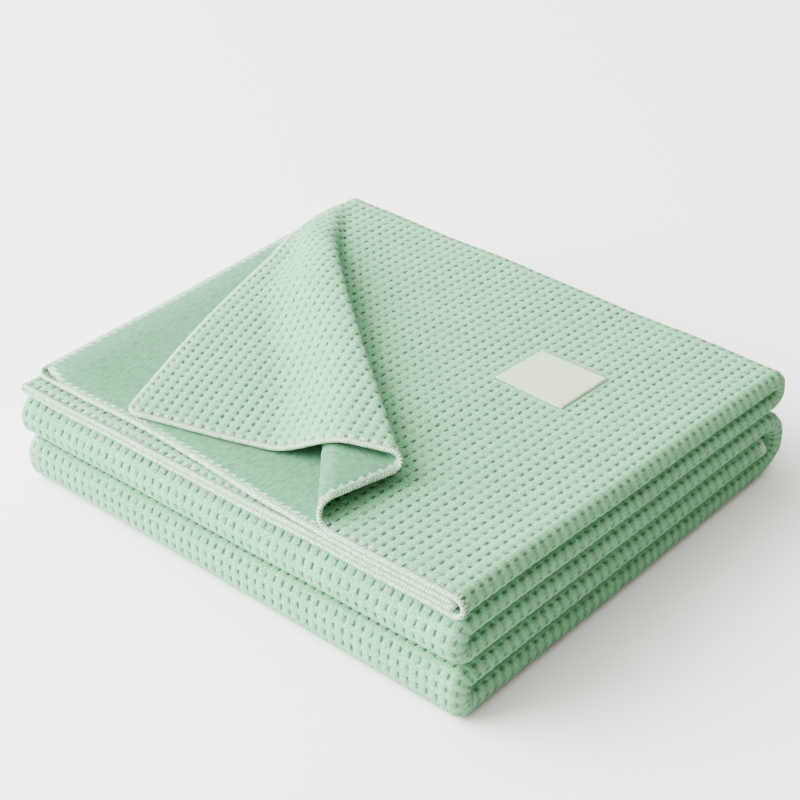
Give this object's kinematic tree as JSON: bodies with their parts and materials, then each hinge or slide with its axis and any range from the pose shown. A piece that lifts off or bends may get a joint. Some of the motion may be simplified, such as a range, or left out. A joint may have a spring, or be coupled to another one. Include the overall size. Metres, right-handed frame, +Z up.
{
  "type": "waffle weave cotton blanket",
  "caption": "Waffle weave blanket folded into a low stack, its top corner pulled back in a soft tuck, with a small bare woven label sewn on top.",
  "frame": {"origin": "centre of the folded stack's underside", "axes": "+X along the stack's length, from the corner that is pulled back towards the folds; +Y from the front hems to the back folds; +Z up"},
  "size_m": [0.3761, 0.3412, 0.1053],
  "materials": {
    "cloth": "soft waffle weave, mint green",
    "label": "plain woven, off-white"
  },
  "bodies": {
    "root": {"blanket": "cloth", "label": "label"}
  },
  "joints": []
}
